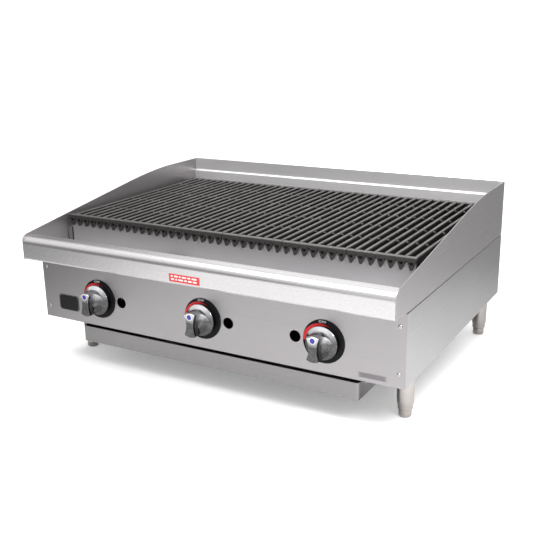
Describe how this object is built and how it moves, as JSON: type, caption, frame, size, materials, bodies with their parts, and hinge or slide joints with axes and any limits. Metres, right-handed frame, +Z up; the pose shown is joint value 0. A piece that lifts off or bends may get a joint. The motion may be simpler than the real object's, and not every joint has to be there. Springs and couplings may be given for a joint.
{
  "type": "charbroiler grill",
  "caption": "Countertop gas radiant charbroiler: steel body, lift-out iron grates, round-nosed front rail, rising side splashes, turning knobs, drip tray and screw feet.",
  "frame": {"origin": "on the counter, under the middle of the overall box", "axes": "+X to the right along the width, +Y to the back, +Z up; the knobs face -Y"},
  "size_m": [0.914, 0.7324, 0.404],
  "materials": {
    "brushed_stainless": "brushed",
    "inner_stainless": "mill finish, heat dulled",
    "leg_nickel": "satin plated",
    "grate_iron": "as cast, worn ridges",
    "radiant_iron": "as cast",
    "burner_steel": "heat dulled",
    "pipe_black": "satin black",
    "valve_brass": "machined",
    "stem_steel": "machined",
    "knob_chrome": "polished",
    "dial_black": "satin black",
    "shutter_steel": "plated",
    "screw_steel": "polished",
    "badge_black": "satin",
    "label_red": "printed film"
  },
  "bodies": {
    "chassis": {"base_pan": "inner_stainless", "left_side_panel": "brushed_stainless", "right_side_panel": "brushed_stainless", "rear_panel": "inner_stainless", "front_panel": "brushed_stainless", "bullnose_rail": "brushed_stainless", "grease_gutter": "inner_stainless", "left_splash": "brushed_stainless", "right_splash": "brushed_stainless", "back_splash": "brushed_stainless", "firebox_front_wall": "brushed_stainless", "firebox_rear_wall": "inner_stainless", "left_firebox_liner": "inner_stainless", "right_firebox_liner": "inner_stainless", "radiant_1": "radiant_iron", "radiant_2": "radiant_iron", "radiant_3": "radiant_iron", "radiant_4": "radiant_iron", "radiant_5": "radiant_iron", "radiant_6": "radiant_iron", "left_burner": "burner_steel", "centre_burner": "burner_steel", "right_burner": "burner_steel", "manifold_pipe": "pipe_black", "gas_inlet_pipe": "pipe_black", "left_gas_valve": "valve_brass", "centre_gas_valve": "valve_brass", "right_gas_valve": "valve_brass", "left_dial_plate": "dial_black", "centre_dial_plate": "dial_black", "right_dial_plate": "dial_black", "pilot_lights": "shutter_steel", "tray_runners": "inner_stainless", "front_left_leg": "leg_nickel", "front_right_leg": "leg_nickel", "back_left_leg": "leg_nickel", "back_right_leg": "leg_nickel", "panel_screws": "screw_steel", "front_badge": "badge_black", "stick_on_labels": "label_red"},
    "left_control": {"left_knob": "knob_chrome", "left_valve_stem": "stem_steel"},
    "centre_control": {"centre_knob": "knob_chrome", "centre_valve_stem": "stem_steel"},
    "right_control": {"right_knob": "knob_chrome", "right_valve_stem": "stem_steel"},
    "left_shutter": {"left_air_shutter": "shutter_steel"},
    "centre_shutter": {"centre_air_shutter": "shutter_steel"},
    "right_shutter": {"right_air_shutter": "shutter_steel"},
    "tray": {"drip_tray": "brushed_stainless"},
    "lift_grate_1": {"grate_1": "grate_iron"},
    "lift_grate_2": {"grate_2": "grate_iron"},
    "lift_grate_3": {"grate_3": "grate_iron"},
    "lift_grate_4": {"grate_4": "grate_iron"},
    "lift_grate_5": {"grate_5": "grate_iron"},
    "lift_grate_6": {"grate_6": "grate_iron"},
    "front_left_screw_foot": {"front_left_foot": "leg_nickel"},
    "front_right_screw_foot": {"front_right_foot": "leg_nickel"},
    "back_left_screw_foot": {"back_left_foot": "leg_nickel"},
    "back_right_screw_foot": {"back_right_foot": "leg_nickel"}
  },
  "joints": [
    {"name": "left_knob_turn", "type": "hinge", "parent": "chassis", "child": "left_control", "pos_m": [-0.2865, -0.3098, 0.177], "axis": [0, -1, 0], "range_deg": [0, 90]},
    {"name": "centre_knob_turn", "type": "hinge", "parent": "chassis", "child": "centre_control", "pos_m": [0, -0.3098, 0.177], "axis": [0, -1, 0], "range_deg": [0, 90]},
    {"name": "right_knob_turn", "type": "hinge", "parent": "chassis", "child": "right_control", "pos_m": [0.2865, -0.3098, 0.177], "axis": [0, -1, 0], "range_deg": [0, 90]},
    {"name": "left_air_shutter_turn", "type": "hinge", "parent": "chassis", "child": "left_shutter", "pos_m": [-0.2865, -0.2498, 0.177], "axis": [0, -1, 0], "range_deg": [0, 40]},
    {"name": "centre_air_shutter_turn", "type": "hinge", "parent": "chassis", "child": "centre_shutter", "pos_m": [0, -0.2498, 0.177], "axis": [0, -1, 0], "range_deg": [0, 40]},
    {"name": "right_air_shutter_turn", "type": "hinge", "parent": "chassis", "child": "right_shutter", "pos_m": [0.2865, -0.2498, 0.177], "axis": [0, -1, 0], "range_deg": [0, 40]},
    {"name": "drip_tray_slide", "type": "slide", "parent": "chassis", "child": "tray", "axis": [0, -1, 0], "range_m": [0, 0.52]},
    {"name": "grate_1_lift", "type": "slide", "parent": "chassis", "child": "lift_grate_1", "axis": [0, 0, 1], "range_m": [0, 0.12]},
    {"name": "grate_2_lift", "type": "slide", "parent": "chassis", "child": "lift_grate_2", "axis": [0, 0, 1], "range_m": [0, 0.12]},
    {"name": "grate_3_lift", "type": "slide", "parent": "chassis", "child": "lift_grate_3", "axis": [0, 0, 1], "range_m": [0, 0.12]},
    {"name": "grate_4_lift", "type": "slide", "parent": "chassis", "child": "lift_grate_4", "axis": [0, 0, 1], "range_m": [0, 0.12]},
    {"name": "grate_5_lift", "type": "slide", "parent": "chassis", "child": "lift_grate_5", "axis": [0, 0, 1], "range_m": [0, 0.12]},
    {"name": "grate_6_lift", "type": "slide", "parent": "chassis", "child": "lift_grate_6", "axis": [0, 0, 1], "range_m": [0, 0.12]},
    {"name": "front_left_foot_screw", "type": "slide", "parent": "chassis", "child": "front_left_screw_foot", "axis": [0, 0, -1], "range_m": [0, 0.02]},
    {"name": "front_right_foot_screw", "type": "slide", "parent": "chassis", "child": "front_right_screw_foot", "axis": [0, 0, -1], "range_m": [0, 0.02]},
    {"name": "back_left_foot_screw", "type": "slide", "parent": "chassis", "child": "back_left_screw_foot", "axis": [0, 0, -1], "range_m": [0, 0.02]},
    {"name": "back_right_foot_screw", "type": "slide", "parent": "chassis", "child": "back_right_screw_foot", "axis": [0, 0, -1], "range_m": [0, 0.02]}
  ]
}
